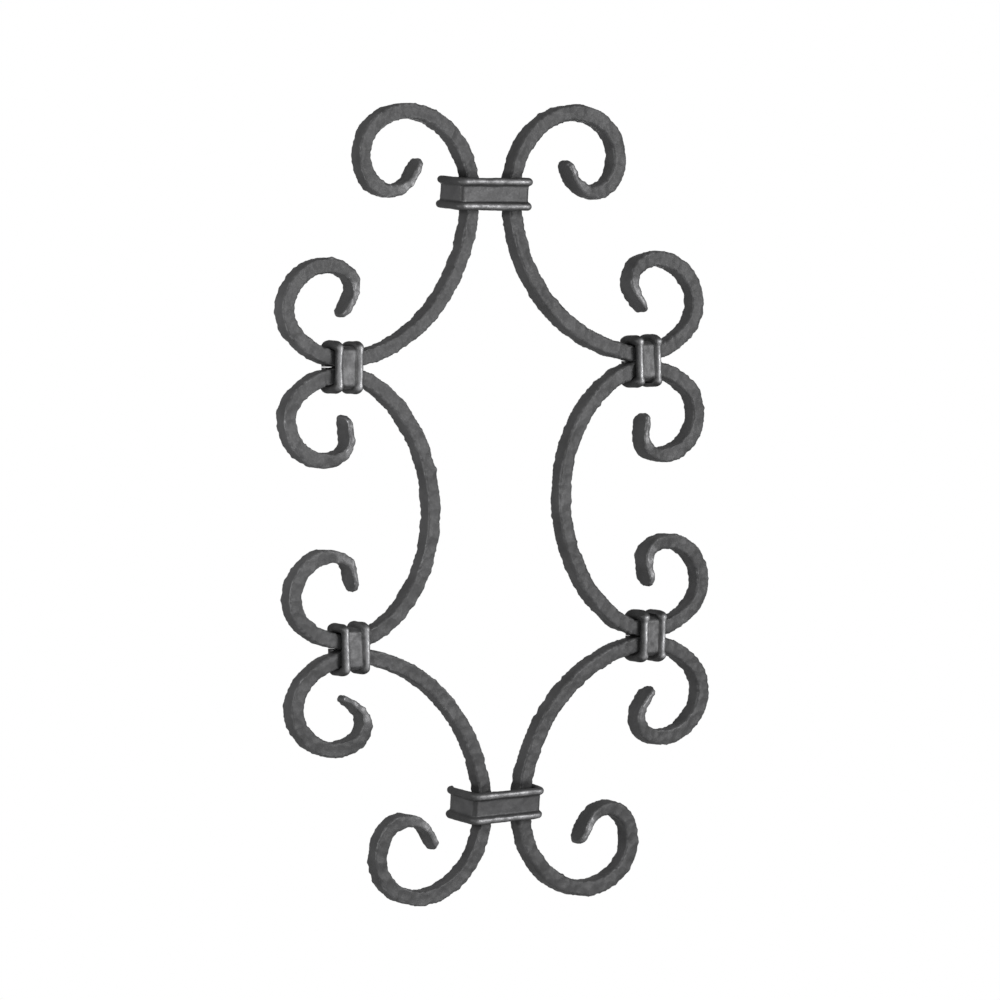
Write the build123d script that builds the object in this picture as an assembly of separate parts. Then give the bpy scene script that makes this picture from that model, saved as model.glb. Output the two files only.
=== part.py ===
"""Wrought iron grille panel: six C-scrolls of square bar, held together by six beaded collars.

Everything is drawn as seen from the front, x to the right and y up, with the depth along z.
The panel is then stood up: x stays, up becomes Z, and the front faces -Y.
Lengths are in millimetres and angles in degrees.
"""

import math
import os
from typing import NamedTuple

from build123d import *

# Bar stock
BAR = 12.0  # square bar, across the flats
BAR_EDGE = 1.4  # radius that the hammer leaves on the bar's four edges

# Forged ends of the bars
TAPER = 62.0  # length over which a bar is drawn down to its tip
TIP_THICKNESS = 4.0  # left in the plane of the panel
TIP_SPREAD = 6.0  # how much wider than the bar the tip spreads, front to back
TIP_ROUND = 9.0  # length over which the tongue closes to its round end
TIP_CLOSING = 0.85  # how much of the tongue's width has gone by its very end, as a square
TIP_STATIONS = 14  # sections from the full bar to the tip
TAIL_RADIUS = 130.0  # the last of a curl, past its tightest bend, is nearly straight
SHORTEST_ARC = 0.01  # anything left over that is shorter is no arc of its own

# Collar strip: a flat web between two round beads
STRIP_WIDTH = 27.0
WEB = 3.5
BEAD = 6.6  # diameter
SEAM = 0.4  # open butt where the strip's two ends meet at the back
FIT = 0.15  # air between a collar and what it holds
WIDE_COLLAR_PITCH = 4.5  # the top and bottom collars sag at the front by this angle
GRIP_REACH = 2.6  # how far round a joint a collar looks for its bars, in bar widths


class Slack(NamedTuple):
    """Space that a collar leaves round its bars, as seen from the front."""

    left: float
    right: float
    back: float


NO_SLACK = Slack(0, 0, 0)
TOP_SLACK = Slack(6.5, 1.5, 9.5)
BOTTOM_SLACK = Slack(5.5, 4, 15)

# Spacing of the two bars' centre lines at each kind of joint
KISS = 0.3  # air where two bars meet at the sides
TOP_SPREAD = 43.5
BOTTOM_SPREAD = 40.3


class Joint(NamedTuple):
    """Where two scrolls meet: a point between them, and how far their common direction leans."""

    x: float
    y: float
    lean: float
    narrowing: float = 0.0  # how far each bar leans towards the other, going down


TOP = Joint(-14.9, 255.7, 1.2, 0.8)
BOTTOM = Joint(6, -256.2, 0.4, 3.2)
LEFT_UPPER = Joint(-166.9, 111.1, -1)
LEFT_LOWER = Joint(-156.7, -117.7, 2.5)
RIGHT_UPPER = Joint(155.1, 116.5, 3)
RIGHT_LOWER = Joint(165.1, -121.5, -1.4)


class Pattern(NamedTuple):
    """A kind of curl, from the joint to the tip: radius and turn of each arc, and what follows."""

    arcs: tuple
    tip_radius: float  # of the last bend, whose turn is given per curl
    tail: float  # length of the nearly straight end


END_CURL = Pattern(((67, 84.5), (55.5, 40.5), (33.5, 80)), 27.5, 15.5)
SIDE_CURL = Pattern(((79, 40), (31, 82), (45, 80.5)), 16.8, 18.0)

# How far the first bend of a curl runs on past the joint into the bar's body, as an angle
END_LEAD = 4.2
SIDE_LEAD = 10.0
MIDDLE_LEAD = 31.7


class Curl(NamedTuple):
    """One hand-bent curl, against its pattern."""

    pattern: Pattern
    size: float  # of all its radii
    opening: float  # of its first two radii, on top of that
    last_turn: float
    lead: float

    def turns(self):
        """Radius and turn of each arc from the joint to the last bend."""
        first, second, third = self.pattern.arcs
        return [
            (first[0] * self.size * self.opening, first[1]),
            (second[0] * self.size * self.opening, second[1]),
            (third[0] * self.size, third[1]),
            (self.pattern.tip_radius * self.size, self.last_turn),
            (TAIL_RADIUS, math.degrees(self.pattern.tail / TAIL_RADIUS)),
        ]

    def lead_in(self):
        """Radius and turn of the bend on the body's side of the joint."""
        return [(self.turns()[0][0], self.lead)]


def direction(angle):
    return Vector(math.cos(math.radians(angle)), math.sin(math.radians(angle)))


def bar_place(joint, along, offset):
    """A bar's centre at a joint, offset to the left of the direction in which the joint runs."""
    return Vector(joint.x, joint.y) + direction(along + joint.lean + 90) * offset


def split_taper(turns):
    """Part a curl's (radius, turn) pairs into those of full bar and those of the drawn-down end."""
    full, drawn, left = list(turns), [], TAPER
    while full and left > SHORTEST_ARC:
        radius, turn = full.pop()
        taken = min(turn, math.degrees(left / radius))
        if taken < turn:
            full.append((radius, turn - taken))
        drawn.insert(0, (radius, taken))
        left -= radius * math.radians(taken)
    return full, drawn


def arc_chain(start, tangent, turns, hand):
    """Arcs that follow one another, each tangent to the one before. A hand of 1 turns left."""
    arcs = []
    for radius, turn in turns:
        arc = JernArc(start, tangent, radius, hand * turn)
        arcs.append(arc)
        start, tangent = arc @ 1, arc % 1
    return arcs


def curl_arcs(start, angle, hand, curl):
    """A curl from its joint outwards: the arcs of full bar, and the wire of its drawn-down end."""
    full, drawn = split_taper(curl.turns())
    arcs = arc_chain(start, direction(angle), full, hand)
    end_arcs = arc_chain(arcs[-1] @ 1, arcs[-1] % 1, drawn, hand)
    return arcs, Wire(end_arcs)


def body_arcs(start, leave, end, arrive, bias):
    """Two tangent arcs from start to end. The bias is how much more the second reaches."""
    span = end - start
    along = span.dot(leave + arrive * bias)
    bend = 2 * bias * (1 - leave.dot(arrive))
    reach = (math.sqrt(along**2 + bend * span.dot(span)) - along) / bend
    middle = ((start + leave * reach) * bias + end - arrive * reach * bias) / (1 + bias)
    first = TangentArc(start, middle, tangent=leave)
    return [first, TangentArc(middle, end, tangent=first % 1)]


def eased(share):
    """A share from 0 to 1 that starts and stops gently."""
    return (1 - math.cos(math.pi * share)) / 2


def bar_section(point, tangent, depth=BAR, thickness=BAR):
    """The bar's section across its run, with its softened edges."""
    edge = min(BAR_EDGE, thickness * 0.4, depth * 0.4)
    plane = Plane(point, x_dir=(0, 0, 1), z_dir=tangent)
    return plane * RectangleRounded(depth, thickness, edge)


def drawn_tip(wire):
    """The drawn-down end: thinner in the plane, spread front to back, with a round tongue."""
    round_from = 1 - TIP_ROUND / TAPER
    sections = []
    for station in range(TIP_STATIONS + 1):
        at = eased(station / TIP_STATIONS)  # sections crowd where the shape starts and closes
        thickness = BAR + (TIP_THICKNESS - BAR) * eased(at)
        depth = BAR + TIP_SPREAD * eased(at)
        if at > round_from:
            depth *= math.sqrt(1 - TIP_CLOSING * ((at - round_from) / (1 - round_from)) ** 2)
        sections.append(bar_section(wire @ at, wire % at, depth, thickness))
    return loft(sections)


def scroll(start, start_angle, end, end_angle, hand, first_curl, last_curl, bias):
    """One bar: a curl, the body between two joints, and the curl at the other end."""
    first_full, first_drawn = curl_arcs(start, start_angle + 180, -hand, first_curl)
    last_full, last_drawn = curl_arcs(end, end_angle, hand, last_curl)
    leaving = arc_chain(start, direction(start_angle), first_curl.lead_in(), hand)[0]
    arriving = arc_chain(end, direction(end_angle + 180), last_curl.lead_in(), -hand)[0]
    body = body_arcs(leaving @ 1, leaving % 1, arriving @ 1, -(arriving % 1), bias)
    run = Wire([*first_full, leaving, *body, arriving, *last_full])
    bar = sweep(bar_section(first_drawn @ 0, first_drawn % 0), path=run)
    return bar + drawn_tip(first_drawn) + drawn_tip(last_drawn)


def end_curl(size, opening, last_turn):
    return Curl(END_CURL, size, opening, last_turn, END_LEAD)


def side_curl(size, opening, last_turn, lead=SIDE_LEAD):
    return Curl(SIDE_CURL, size, opening, last_turn, lead)


def middle_curl(size, opening, last_turn):
    return side_curl(size, opening, last_turn, MIDDLE_LEAD)


def make_scrolls():
    side = (BAR + KISS) / 2
    top, bottom = TOP_SPREAD / 2, BOTTOM_SPREAD / 2
    down, left, right = -90, 180, 0
    return {
        "top_left_scroll": scroll(
            bar_place(TOP, down, -top), down + TOP.lean + TOP.narrowing,
            bar_place(LEFT_UPPER, left, -side), left + LEFT_UPPER.lean,
            -1, end_curl(0.96, 1.05, 122), side_curl(0.94, 1.01, 97), 1.26,
        ),
        "top_right_scroll": scroll(
            bar_place(TOP, down, top), down + TOP.lean - TOP.narrowing,
            bar_place(RIGHT_UPPER, right, side), right + RIGHT_UPPER.lean,
            1, end_curl(0.98, 1.06, 121.5), side_curl(1.05, 0.96, 104), 0.52,
        ),
        "middle_left_scroll": scroll(
            bar_place(LEFT_UPPER, right, -side), right + LEFT_UPPER.lean,
            bar_place(LEFT_LOWER, left, -side), left + LEFT_LOWER.lean,
            -1, middle_curl(0.86, 1.02, 77), middle_curl(0.82, 1.11, 54.5), 0.5,
        ),
        "middle_right_scroll": scroll(
            bar_place(RIGHT_UPPER, left, side), left + RIGHT_UPPER.lean,
            bar_place(RIGHT_LOWER, right, side), right + RIGHT_LOWER.lean,
            1, middle_curl(0.89, 1.1, 74), middle_curl(0.92, 1.05, 81), 0.74,
        ),
        "bottom_left_scroll": scroll(
            bar_place(LEFT_LOWER, right, -side), right + LEFT_LOWER.lean,
            bar_place(BOTTOM, down, -bottom), down + BOTTOM.lean + BOTTOM.narrowing,
            -1, side_curl(0.99, 0.93, 119.5), end_curl(0.99, 1.02, 126), 0.5,
        ),
        "bottom_right_scroll": scroll(
            bar_place(RIGHT_LOWER, left, side), left + RIGHT_LOWER.lean,
            bar_place(BOTTOM, down, bottom), down + BOTTOM.lean - BOTTOM.narrowing,
            1, side_curl(1.02, 1.02, 103.5), end_curl(0.99, 1.14, 128), 1.76,
        ),
    }


def strip_profile():
    """The collar strip's section, with its inner face on the x axis."""
    bead = BEAD / 2
    middle = STRIP_WIDTH / 2 - bead
    web = Rectangle(2 * middle, WEB, align=(Align.CENTER, Align.MIN))
    return web + [Pos(x, bead) * Circle(bead) for x in (-middle, middle)]


def collar(plane, bars, spacing, slack):
    """A beaded strip bent round two bars, which meets itself in a butt at the back.

    The plane's z runs along the bars and its y to the back. The strip closes on whatever part
    of the bars lies within its width, at the front always, and elsewhere with some slack.
    """
    reach = spacing + GRIP_REACH * BAR
    gripped = plane.to_local_coords(Part() + bars) & Box(reach, reach, STRIP_WIDTH)
    held = gripped.bounding_box()
    west, east = held.min.X - FIT - slack.left, held.max.X + FIT + slack.right
    front, back = held.min.Y - FIT, held.max.Y + FIT + slack.back
    seam = (west + east) / 2
    path = FilletPolyline(
        (seam + SEAM / 2, back), (east, back), (east, front),
        (west, front), (west, back), (seam - SEAM / 2, back),
        radius=BAR_EDGE,
    )
    section = Plane(path @ 0, x_dir=(0, 0, -1), z_dir=path % 0) * strip_profile()
    return plane * sweep(section, path=path)


def collar_plane(joint, along, pitch=0.0):
    """The plane across a joint's bars, pitched so that the collar's back rises."""
    run = direction(along + joint.lean)
    back = Vector(0, 0, -1)
    plane = Plane(Vector(joint.x, joint.y), x_dir=back.cross(run), z_dir=run)
    return plane.rotated((pitch, 0, 0))


def make_collars(scrolls):
    up, left, right = 90, 180, 0
    wide = {
        "top_collar": (TOP, TOP_SPREAD, TOP_SLACK, "top_left", "top_right"),
        "bottom_collar": (BOTTOM, BOTTOM_SPREAD, BOTTOM_SLACK, "bottom_left", "bottom_right"),
    }
    tight = {
        "left_upper_collar": (LEFT_UPPER, right, "top_left", "middle_left"),
        "left_lower_collar": (LEFT_LOWER, right, "middle_left", "bottom_left"),
        "right_upper_collar": (RIGHT_UPPER, left, "top_right", "middle_right"),
        "right_lower_collar": (RIGHT_LOWER, left, "middle_right", "bottom_right"),
    }
    collars = {}
    for name, (joint, spacing, slack, one, other) in wide.items():
        bars = [scrolls[f"{one}_scroll"], scrolls[f"{other}_scroll"]]
        plane = collar_plane(joint, up, WIDE_COLLAR_PITCH)
        collars[name] = collar(plane, bars, spacing, slack)
    for name, (joint, along, one, other) in tight.items():
        bars = [scrolls[f"{one}_scroll"], scrolls[f"{other}_scroll"]]
        collars[name] = collar(collar_plane(joint, along), bars, BAR + KISS, NO_SLACK)
    return collars


def stand_up(pieces):
    """Stand the flat panel up, with its centre at the origin."""
    boxes = [piece.bounding_box() for piece in pieces.values()]
    whole = boxes[0]
    for box in boxes[1:]:
        whole = whole.add(box)
    return {name: Plane.XZ * Pos(-whole.center()) * piece for name, piece in pieces.items()}


def main():
    scrolls = make_scrolls()
    pieces = stand_up({**scrolls, **make_collars(scrolls)})
    os.makedirs("parts", exist_ok=True)
    for name, piece in pieces.items():
        export_step(piece, f"parts/{name}.step")
        print(name, round(piece.volume), piece.bounding_box().size)


main()
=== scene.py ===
# %% [markdown]
# A wrought iron grille panel, dressed for a photograph.
#
# The panel is six C-scrolls of square bar held together by six beaded collars. The frame already
# holds every piece at its real size and place. What it can't hold is the smith's hand: the flats
# that a hammer leaves, edges that have gone soft, and a dark skin rubbed lighter where hands and
# tools have passed. This lesson works those into copies of the clean forms, piece by piece.

# %% Load the frame
import math

import bpy
from mathutils import Matrix, Vector
from mathutils.bvhtree import BVHTree


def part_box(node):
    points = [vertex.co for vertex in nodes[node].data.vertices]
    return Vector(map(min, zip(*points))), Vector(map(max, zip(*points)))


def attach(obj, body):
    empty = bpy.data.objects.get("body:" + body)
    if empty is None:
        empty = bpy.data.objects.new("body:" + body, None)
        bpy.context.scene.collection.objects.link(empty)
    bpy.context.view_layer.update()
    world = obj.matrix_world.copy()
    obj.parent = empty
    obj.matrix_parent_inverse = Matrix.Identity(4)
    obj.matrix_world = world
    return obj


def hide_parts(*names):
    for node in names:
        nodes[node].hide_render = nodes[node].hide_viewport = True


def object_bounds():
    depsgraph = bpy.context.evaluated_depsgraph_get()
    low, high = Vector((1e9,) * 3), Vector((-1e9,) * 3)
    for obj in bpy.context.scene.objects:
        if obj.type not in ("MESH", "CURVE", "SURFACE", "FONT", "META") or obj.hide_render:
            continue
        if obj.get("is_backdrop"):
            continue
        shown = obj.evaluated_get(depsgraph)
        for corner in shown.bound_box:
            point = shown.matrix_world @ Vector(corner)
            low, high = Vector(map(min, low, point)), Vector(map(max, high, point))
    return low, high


MM = 0.001

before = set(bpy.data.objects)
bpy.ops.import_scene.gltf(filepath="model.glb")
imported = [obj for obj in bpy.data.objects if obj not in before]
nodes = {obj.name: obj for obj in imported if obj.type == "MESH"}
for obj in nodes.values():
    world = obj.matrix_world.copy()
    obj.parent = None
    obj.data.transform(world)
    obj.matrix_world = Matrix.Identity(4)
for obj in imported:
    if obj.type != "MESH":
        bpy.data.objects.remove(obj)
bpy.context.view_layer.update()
scroll_names = sorted(name for name in nodes if name.endswith("scroll"))
collar_names = sorted(name for name in nodes if name.endswith("collar"))
print("scrolls:", scroll_names)
print("collars:", collar_names)

# %% [markdown]
# Shader maths reads best as ordinary sums. A small class wraps a node's output socket, and each
# operator adds the Math node that does it. Anything else comes from one method that takes a
# node's type, its settings and the values or links of its sockets.


# %% Shader helpers
class Value:
    """A number that changes over the surface, as the output of a shader node."""

    def __init__(self, finish, socket):
        self.finish, self.socket = finish, socket

    def math(self, operation, left, right):
        return self.finish.node("ShaderNodeMath", {"operation": operation}, {0: left, 1: right})

    def __add__(self, other):
        return self.math("ADD", self, other)

    def __radd__(self, other):
        return self.math("ADD", other, self)

    def __sub__(self, other):
        return self.math("SUBTRACT", self, other)

    def __rsub__(self, other):
        return self.math("SUBTRACT", other, self)

    def __mul__(self, other):
        return self.math("MULTIPLY", self, other)

    def __rmul__(self, other):
        return self.math("MULTIPLY", other, self)


class Finish:
    """One material, built node by node around a Principled shader."""

    def __init__(self, name):
        self.material = bpy.data.materials.new(name)
        self.material.use_nodes = True
        self.tree = self.material.node_tree
        self.shader = self.tree.nodes["Principled BSDF"]

    def node(self, kind, settings=None, inputs=None, output=0):
        made = self.tree.nodes.new(kind)
        for key, value in (settings or {}).items():
            setattr(made, key, value)
        for key, value in (inputs or {}).items():
            if isinstance(value, Value):
                self.tree.links.new(value.socket, made.inputs[key])
            else:
                made.inputs[key].default_value = value
        return Value(self, made.outputs[output])

    def feed(self, socket, value):
        self.tree.links.new(value.socket, self.shader.inputs[socket])

    def place(self):
        return self.node("ShaderNodeTexCoord", output="Object")

    def noise(self, scale, detail=3.0, roughness=0.5):
        return self.node(
            "ShaderNodeTexNoise", None,
            {"Vector": self.place(), "Scale": scale, "Detail": detail, "Roughness": roughness},
        )

    def mark(self, name):
        """A number stored at the mesh's own points."""
        return self.node("ShaderNodeAttribute", {"attribute_name": name}, output="Fac")

    def between(self, value, low, high, to_low=0.0, to_high=1.0):
        """The value carried from one range to another, and held at its ends."""
        return self.node(
            "ShaderNodeMapRange", None,
            {"Value": value, 1: low, 2: high, 3: to_low, 4: to_high},
        )

    def blend(self, amount, first, second):
        """A colour between two others."""
        mixed = self.node("ShaderNodeMix", {"data_type": "RGBA"}, {0: amount}, output=2)
        made = mixed.socket.node
        for index, colour in ((6, first), (7, second)):
            if isinstance(colour, Value):
                self.tree.links.new(colour.socket, made.inputs[index])
            else:
                made.inputs[index].default_value = (*colour, 1.0)
        return mixed


# %% [markdown]
# The skin of the iron is a dark graphite grey with a soft sheen, a little uneven, as old paint or
# blacking over forge scale is. Along the bar's edges it has been rubbed in patches to brighter
# metal, and Pointiness finds those from the mesh itself, so the wear follows whatever shape the
# hammer leaves. Pointiness also darkens the creases, and that is painted shade. Two marks stored
# on
# the meshes do the rest: one for rubbed metal on the thin tips of the curls and on the crowns of
# the beads, where it is also a painted highlight, and one for painted shade, dark and dull.


# %% The iron's skin
SPECK_SCALE, GRAIN_SCALE, PATCH_SCALE, STRETCH_SCALE = 520.0, 170.0, 95.0, 26.0
SHARP_EDGE = (0.515, 0.545)
DEEP_CREASE, CREASE_SHADE_SHARE = 0.45, 0.7
PAINT_METAL, WORN_METAL = 0.3, 0.5
PAINT_ROUGHNESS, SPECK_ROUGHNESS, WORN_POLISH = 0.44, 0.12, 0.1
BUMP_DEPTH = 0.25 * MM


def grey(level):
    """A grey with a breath of blue."""
    return (level, level, level * 1.02)


def iron_skin(name, dark, light, rubbed_and_highlight, edge_rub, mark_rub_and_highlight, cloud_scale, crease_shade_to):
    """Cloudy paint between two greys, taken to a lighter third grey where used and where a painted
    highlight sits, and to painted shade in its hollows and marked places.
    """
    finish = Finish(name)
    cloud = finish.between(finish.noise(cloud_scale, 4.0, 0.55), 0.32, 0.68)
    speck = finish.noise(SPECK_SCALE, 2.0, 0.6)
    patch = finish.between(finish.noise(PATCH_SCALE, 3.0, 0.6), 0.36, 0.64)
    stretch = finish.between(finish.noise(STRETCH_SCALE, 2.0, 0.5), 0.42, 0.60)
    turn = finish.node("ShaderNodeNewGeometry", output="Pointiness")
    edges = finish.between(turn, *SHARP_EDGE) * stretch * (patch * 0.4 + 0.6)
    # Painted shade: the creases, where Pointiness is low, are darkened towards near black.
    crease_shade = finish.between(turn, DEEP_CREASE, crease_shade_to, 1.0, 0.0) * CREASE_SHADE_SHARE
    # Edge wear, and the second mark: rubbed metal on the tips, and rubbed metal with a painted
    # highlight on the bead crowns.
    wear_and_highlight = edges * edge_rub + finish.mark("rubbed_and_highlight") * (patch * 0.7 + 0.3) * mark_rub_and_highlight
    # Painted shade: where the shade mark is high, the paint goes to near black.
    shaded_paint = finish.blend(finish.mark("painted_shade"), finish.blend(cloud, dark, light), grey(0.022))
    worn_and_highlit = finish.blend(wear_and_highlight, shaded_paint, rubbed_and_highlight)
    polish = wear_and_highlight * WORN_POLISH
    grain = speck * 0.6 + finish.noise(GRAIN_SCALE, 3.0)
    finish.feed("Base Color", finish.blend(crease_shade, worn_and_highlit, grey(0.03)))
    finish.feed("Metallic", PAINT_METAL + wear_and_highlight * WORN_METAL)
    finish.feed(
        "Roughness",
        PAINT_ROUGHNESS + finish.between(speck, 0.3, 0.7) * SPECK_ROUGHNESS - polish,
    )
    finish.feed("Normal", finish.node(
        "ShaderNodeBump", None, {"Strength": 0.4, "Distance": BUMP_DEPTH, "Height": grain}
    ))
    print("material", name)
    return finish.material


bar_skin = iron_skin(
    "graphite_bar_skin", dark=grey(0.080), light=grey(0.120), rubbed_and_highlight=grey(0.38),
    edge_rub=0.3, mark_rub_and_highlight=0.75, cloud_scale=45.0, crease_shade_to=0.475,
)
wide_strip_skin = iron_skin(
    "graphite_strip_skin", dark=grey(0.108), light=grey(0.146), rubbed_and_highlight=grey(0.48),
    edge_rub=0, mark_rub_and_highlight=0.9, cloud_scale=90.0, crease_shade_to=0.496,
)
# The side collars take a lighter copy of the strip's paint and a brighter grey at the crowns:
# painted light, for the brighter look they have.
side_strip_skin = iron_skin(
    "painted_light_strip_skin", dark=grey(0.115), light=grey(0.270), rubbed_and_highlight=grey(0.60),
    edge_rub=0, mark_rub_and_highlight=1.0, cloud_scale=120.0, crease_shade_to=0.496,
)

# %% [markdown]
# Hammer work starts from a clean bar. A copy of each solid is merged, because the frame's meshes
# are loose triangles, and remeshed into small even squares, which gives the surface enough points
# to take marks. Displacement then pushes it in and out by soft patterns of several sizes. No
# pattern moves the surface by much more than a millimetre, because the bar must still fit its
# collars and keep its real size. Where only a part of a piece is to move, a group of points says
# how far each one takes part.


# %% Forging helpers
MERGE_REACH = 0.01 * MM
FLAT_FROM, FLAT_TO = 0.85, 0.99


def only(piece):
    """Leave nothing else selected, because an operator acts on all that is."""
    bpy.ops.object.select_all(action="DESELECT")
    piece.select_set(True)
    bpy.context.view_layer.objects.active = piece


def apply_modifier(piece, kind, **settings):
    only(piece)
    bpy.ops.object.modifier_add(type=kind)
    modifier = piece.modifiers[-1]
    for key, value in settings.items():
        setattr(modifier, key, value)
    bpy.ops.object.modifier_apply(modifier=modifier.name)


def clean_copy(node, name):
    """A copy of a node, with its loose triangles merged."""
    piece = nodes[node].copy()
    piece.data = nodes[node].data.copy()
    piece.name = piece.data.name = name
    piece.parent = None
    piece.matrix_world = Matrix.Identity(4)
    bpy.context.scene.collection.objects.link(piece)
    only(piece)
    bpy.ops.object.mode_set(mode="EDIT")
    bpy.ops.mesh.select_all(action="SELECT")
    bpy.ops.mesh.remove_doubles(threshold=MERGE_REACH)
    bpy.ops.object.mode_set(mode="OBJECT")
    return piece


def even_squares(piece, grain):
    apply_modifier(piece, "REMESH", mode="VOXEL", voxel_size=grain, use_smooth_shade=True)


def clouds(name, size, depth):
    made = bpy.data.textures.new(name, "CLOUDS")
    made.noise_scale, made.noise_depth = size, depth
    return made


def cells(name, size):
    made = bpy.data.textures.new(name, "VORONOI")
    made.noise_scale = size
    return made


def hammer(piece, marks, depth, middle=0.5, where=""):
    """Push the surface in and out by a pattern. The middle is the value that stays in place."""
    apply_modifier(
        piece, "DISPLACE", texture=marks, texture_coords="LOCAL", strength=depth,
        mid_level=middle, vertex_group=where,
    )


def group_points(piece, name, share):
    """Say how far each point takes part in what is done to a group."""
    group = piece.vertex_groups.new(name=name)
    for vertex in piece.data.vertices:
        group.add([vertex.index], share(vertex), "REPLACE")


def mark_points(piece, name, measure):
    """Store a number at every point of a mesh, for its skin to read."""
    marks = piece.data.attributes.new(name, "FLOAT", "POINT")
    marks.data.foreach_set("value", [measure(vertex) for vertex in piece.data.vertices])


def rise(value, low, high):
    """Nothing below the first level and one above the second, with a soft step between."""
    share = min(1.0, max(0.0, (value - low) / (high - low)))
    return share * share * (3 - 2 * share)


def turned(vertex):
    """How far a point faces the front or the back: nothing at a side, and one full on."""
    return abs(vertex.normal.y)


def bend(facing, low, high):
    """One where a surface turns from a side to the front or back, and nothing on the flats."""
    return rise(facing, low, high) * (1 - rise(facing, FLAT_FROM, FLAT_TO))


def finish_piece(piece, node, skin):
    piece.data.materials.clear()
    piece.data.materials.append(skin)
    only(piece)
    bpy.ops.object.shade_smooth()
    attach(piece, "root")
    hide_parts(node)
    print(piece.name, len(piece.data.polygons), "faces")


blows = clouds("hammer_blows", 15 * MM, 0)
ripple = clouds("forge_ripple", 4 * MM, 1)
dents = cells("hammer_dents", 8 * MM)
nicks = cells("edge_nicks", 4 * MM)

# %% [markdown]
# The scrolls are the smith's show of skill, and each one is bent over the anvil by eye. Its flats
# are shallow dents with soft ridges between them, and small nicks run along its edges only. A cell
# pattern gives both: it is low in the middle of each cell and high where two cells meet. The three
# bars on the right were drawn down a little less and are the thicker ones. A bar gets painted
# shade close to a collar, and is rubbed on the narrow front of its drawn tips. Where it is narrow
# is measured with rays, cast across the bar from just behind its front.

# %% Forge the scrolls
BAR_GRAIN = 0.95 * MM
DENT, NICK, SCROLL_BLOW = 1.2 * MM, 1.5 * MM, 1.0 * MM
DENT_MIDDLE = {"left": 0.42, "right": 0.0}
NICK_MIDDLE = 0.35
SHADE_AT_COLLAR, SHADE_REACH = 0.75, 4.5 * MM
TIP_FACING = 0.6
RAY_START, RAY_MISS = 5 * MM, 100 * MM
NARROW, BROAD = 7 * MM, 11 * MM
LINE_ANGLES = (0, 0.785, 1.571, 2.356)
collar_boxes = [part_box(name) for name in collar_names]
across_bar = [Vector((math.cos(turn), 0, math.sin(turn))) for turn in LINE_ANGLES]


def collar_shade(vertex):
    """Painted shade at a collar, fading to nothing a few millimetres away from it."""
    point = vertex.co
    gap = min(
        math.hypot(*(max(low[i] - point[i], point[i] - high[i], 0) for i in range(3)))
        for low, high in collar_boxes
    )
    return SHADE_AT_COLLAR * (1 - rise(gap, 0, SHADE_REACH))


def tip_measure(scroll):
    """One on the front and back of the thin tips, and nothing on the rest of the bar."""
    solid = BVHTree.FromObject(scroll, bpy.context.evaluated_depsgraph_get())

    def measure(vertex):
        if turned(vertex) < TIP_FACING:
            return 0.0
        inside = vertex.co - Vector((0, math.copysign(RAY_START, vertex.normal.y), 0))
        widths = [
            sum(solid.ray_cast(inside, way)[3] or RAY_MISS for way in (line, -line))
            for line in across_bar
        ]
        return 1 - rise(min(widths), NARROW, BROAD)

    return measure


def edge_share(vertex):
    """One on the four long edges of a bar, whose normals lie between two of its flats."""
    return bend(turned(vertex), 0.1, 0.45)


for node in scroll_names:
    scroll = clean_copy(node, f"forged_{node}")
    even_squares(scroll, BAR_GRAIN)
    group_points(scroll, "edges", edge_share)
    hammer(scroll, dents, DENT, DENT_MIDDLE[node.split("_")[1]])
    hammer(scroll, nicks, NICK, NICK_MIDDLE, "edges")
    hammer(scroll, blows, SCROLL_BLOW)
    apply_modifier(scroll, "SMOOTH", factor=0.4, iterations=1)
    # Painted shade on the bars close to the collars, where they enter them.
    mark_points(scroll, "painted_shade", collar_shade)
    mark_points(scroll, "rubbed_and_highlight", tip_measure(scroll))
    finish_piece(scroll, node, bar_skin)

# %% [markdown]
# A collar is a rolled strip with a bead along each edge, bent round the bars while it glows. The
# roll leaves it cleaner than the bars, so its marks are fainter. The four at the sides grip two
# bars that kiss. Bending squeezes their beads out into round lumps above and below the bars, and
# their ends meet in a butt at the back, which nobody files flush. Remeshing closes a gap as fine
# as that, so it is sawn again with a thin level blade. The wide ones at the top and bottom are
# open behind the bars, and their flanks end there.


# %% The backs of the collars
SAW, SAW_DEPTH = 0.7 * MM, 8 * MM
SAG = math.radians(4.5)
END_HOOK, BACK_DEPTH = 7.5 * MM, 11 * MM
FLANK_CUT = 18 * MM
PAST_ALL = 60 * MM
wide_names = ["bottom_collar", "top_collar"]


def cut_away(strip, place, size):
    """Take a box away. Its middle is the place, so half of it may stand clear of the strip."""
    bpy.ops.mesh.primitive_cube_add(size=1, location=place)
    blade = bpy.context.object
    blade.scale = size
    apply_modifier(strip, "BOOLEAN", operation="DIFFERENCE", object=blade, solver="EXACT")
    bpy.data.objects.remove(blade)


def middle_of_back(node):
    low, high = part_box(node)
    return ((low[0] + high[0]) / 2, high[1], (low[2] + high[2]) / 2)


def open_back(strip, node):
    """Cut the back away but for a hook at each side, and then the end of the right flank."""
    low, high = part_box(node)
    x, y, z = middle_of_back(node)
    opening = high[0] - low[0] - 2 * END_HOOK
    cut_away(strip, (x, y, z), (opening, 2 * BACK_DEPTH, PAST_ALL))
    cut_away(strip, (high[0], y, z), (3 * END_HOOK, 2 * FLANK_CUT, PAST_ALL))


def saw_butt(strip, node):
    cut_away(strip, middle_of_back(node), (PAST_ALL, 2 * SAW_DEPTH, SAW))


# %% Marks of the collars
BEAD_INSIDE, BEAD_OUTSIDE = 6.0 * MM, 7.4 * MM
SWELL_FROM, SWELL_TO = 8 * MM, 3 * MM
BEND_SHADE = 0.65


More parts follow.
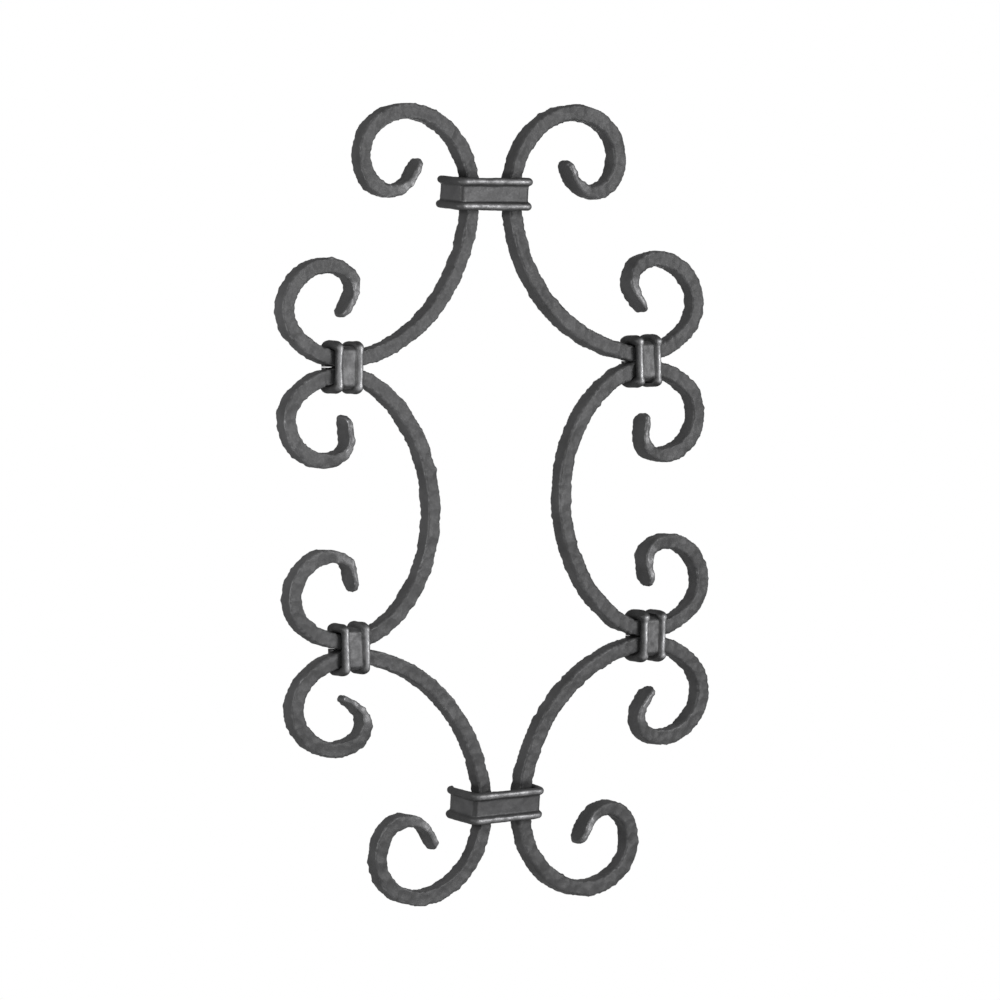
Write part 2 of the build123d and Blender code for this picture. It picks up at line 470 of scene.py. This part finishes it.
def bead_share(node):
    """How far across the strip a vertex lies: nothing on the web, and one on the beads."""
    low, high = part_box(node)
    middle = (Vector(low) + Vector(high)) / 2
    across = Vector((1, 0, 0))
    if node in wide_names:
        across = Vector((0, -math.sin(SAG), math.cos(SAG)))
    return lambda vertex: rise(abs((vertex.co - middle).dot(across)), BEAD_INSIDE, BEAD_OUTSIDE)


def strip_marks(strip, node, bead_shade, flank_shade):
    """Brighter bare metal with a painted highlight on the crowns front and back, and painted shade
    on the sides of the beads, the bends and the flanks.
    """
    bead = bead_share(node)

    # Rubbed metal and a painted highlight, only on crowns facing front or back, where the lamp's
    # highlight falls.
    def rubbed_and_highlit_crown(vertex):
        return bead(vertex) * rise(turned(vertex), 0.78, 0.95)

    # Painted shade: darker where the surface turns away from the front, on the sides of the beads,
    # the bends and the flanks.
    def dark(vertex):
        facing = turned(vertex)
        flank = flank_shade * (1 - rise(facing, 0.3, 0.7))
        web = max(BEND_SHADE * bend(facing, 0.15, 0.5), flank)
        share = bead(vertex)
        return share * bead_shade * (1 - rise(facing, 0.5, 0.9)) + (1 - share) * web

    mark_points(strip, "rubbed_and_highlight", rubbed_and_highlit_crown)
    mark_points(strip, "painted_shade", dark)


def swell_beads(strip, node, height):
    """Squeeze the beads out where they pass over and under the bars."""
    low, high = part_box(node)
    middle, reach = (low[2] + high[2]) / 2, (high[2] - low[2]) / 2
    bead = bead_share(node)

    def over(vertex):
        height_share = rise(abs(vertex.co.z - middle), reach - SWELL_FROM, reach - SWELL_TO)
        return bead(vertex) * height_share

    group_points(strip, "squeezed", over)
    apply_modifier(strip, "DISPLACE", strength=height, mid_level=0, vertex_group="squeezed")


# %% Forge the collars
STRIP_GRAIN = 0.65 * MM
STRIP_BLOW, STRIP_RIPPLE = 0.9 * MM, 0.4 * MM
SQUEEZE = {"left": 1.3 * MM, "right": 2.6 * MM}
# How much painted shade the sides of the beads and the flanks get, on the wide and the side
# collars.
WIDE_SHADE = {"bead_shade": 0.45, "flank_shade": 0}
SIDE_SHADE = {"bead_shade": 0.8, "flank_shade": 0.6}
for node in collar_names:
    wide = node in wide_names
    strip = clean_copy(node, f"beaded_{node}")
    if wide:
        open_back(strip, node)
    even_squares(strip, STRIP_GRAIN)
    if not wide:
        swell_beads(strip, node, SQUEEZE[node.split("_")[0]])
    hammer(strip, blows, STRIP_BLOW)
    hammer(strip, ripple, STRIP_RIPPLE)
    apply_modifier(strip, "SMOOTH", factor=0.5, iterations=1)
    if not wide:
        saw_butt(strip, node)
    strip_marks(strip, node, **(WIDE_SHADE if wide else SIDE_SHADE))
    finish_piece(strip, node, wide_strip_skin if wide else side_strip_skin)

# %% [markdown]
# The studio is a white sweep under soft lamps. White comes from what the camera sees of the floor
# and the world, not from more light on the iron. The panel hangs clear of the floor, as it does in
# its frame. The broad key lamp stands in front on the right, a small lamp is close on the left,
# and the last one stands low behind the panel, where it catches the undersides of the bars.


# %% Studio
def show_white(tree, ordinary, kind, output):
    """White to the camera, and the ordinary floor or light to everything else."""
    white = tree.nodes.new(kind)
    seen = tree.nodes.new("ShaderNodeLightPath")
    mix = tree.nodes.new("ShaderNodeMixShader")
    tree.links.new(seen.outputs["Is Camera Ray"], mix.inputs[0])
    tree.links.new(ordinary.outputs[0], mix.inputs[1])
    tree.links.new(white.outputs[0], mix.inputs[2])
    tree.links.new(mix.outputs[0], tree.nodes[output].inputs[0])
    return white


FLOOR_SIZE, FLOOR_DROP = 30, 0.26
FILL = 0.28
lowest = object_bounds()[0][2]
bpy.ops.mesh.primitive_plane_add(size=FLOOR_SIZE, location=(0, 0, lowest - FLOOR_DROP))
floor = bpy.context.object
floor.name = "floor"
floor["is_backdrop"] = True
floor_finish = Finish("pale_floor")
floor_finish.shader.inputs["Base Color"].default_value = (0.8, 0.8, 0.8, 1)
floor_finish.shader.inputs["Roughness"].default_value = 0.9
show_white(floor_finish.tree, floor_finish.shader, "ShaderNodeEmission", "Material Output")
floor.data.materials.append(floor_finish.material)

world = bpy.data.worlds.new("studio")
bpy.context.scene.world = world
world.use_nodes = True
fill = world.node_tree.nodes["Background"]
fill.inputs["Color"].default_value = (1, 1, 1, 1)
fill.inputs["Strength"].default_value = FILL
backdrop = show_white(world.node_tree, fill, "ShaderNodeBackground", "World Output")
backdrop.inputs["Color"].default_value = (1, 1, 1, 1)


def soft_lamp(name, place, size, power):
    """A round lamp, turned towards the panel's middle."""
    light = bpy.data.lights.new(name, "AREA")
    light.shape, light.size, light.energy = "DISK", size, power
    lamp = bpy.data.objects.new(name, light)
    lamp.location = place
    lamp.rotation_euler = (-Vector(place)).to_track_quat("-Z", "Y").to_euler()
    bpy.context.scene.collection.objects.link(lamp)


soft_lamp("key_lamp", place=(2.0, -3.2, 0.4), size=1.8, power=43)
soft_lamp("side_lamp", place=(-0.8, -0.3, 0.1), size=0.5, power=2.9)
soft_lamp("back_lamp", place=(2.0, 3.2, -0.9), size=1.8, power=24)

# %% [markdown]
# The photograph was taken from the panel's left, a little above its middle, with a long lens.
# The camera's place follows from the yaw, the rise and the distance.

# %% Camera
YAW, RISE, ROLL = map(math.radians, (39.3, 3.0, 0.8))
FOCAL_PX, FRAME_PX, PX_PER_MM = 3790, 1000, 1.194
SENSOR_WIDTH = 36
distance = FOCAL_PX / PX_PER_MM * MM
look = Vector((math.sin(YAW) * math.cos(RISE), math.cos(YAW) * math.cos(RISE), -math.sin(RISE)))
target = Vector((-1.7 * MM, -7.4 * MM, 4.5 * MM))
camera_data = bpy.data.cameras.new("camera")
camera_data.sensor_width = SENSOR_WIDTH
camera_data.lens = SENSOR_WIDTH * FOCAL_PX / FRAME_PX
camera_data.clip_end = 100
camera = bpy.data.objects.new("camera", camera_data)
upright = look.to_track_quat("-Z", "Y")
camera.rotation_mode = "QUATERNION"
camera.rotation_quaternion = upright @ Matrix.Rotation(ROLL, 4, "Z").to_quaternion()
camera.location = target - look * distance
bpy.context.scene.collection.objects.link(camera)
bpy.context.scene.camera = camera
bpy.context.scene.view_settings.view_transform = "Standard"

visual_low, visual_high = [list(map(float, corner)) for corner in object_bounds()]
print("size", [round(1000 * (h - l), 1) for l, h in zip(visual_low, visual_high)])
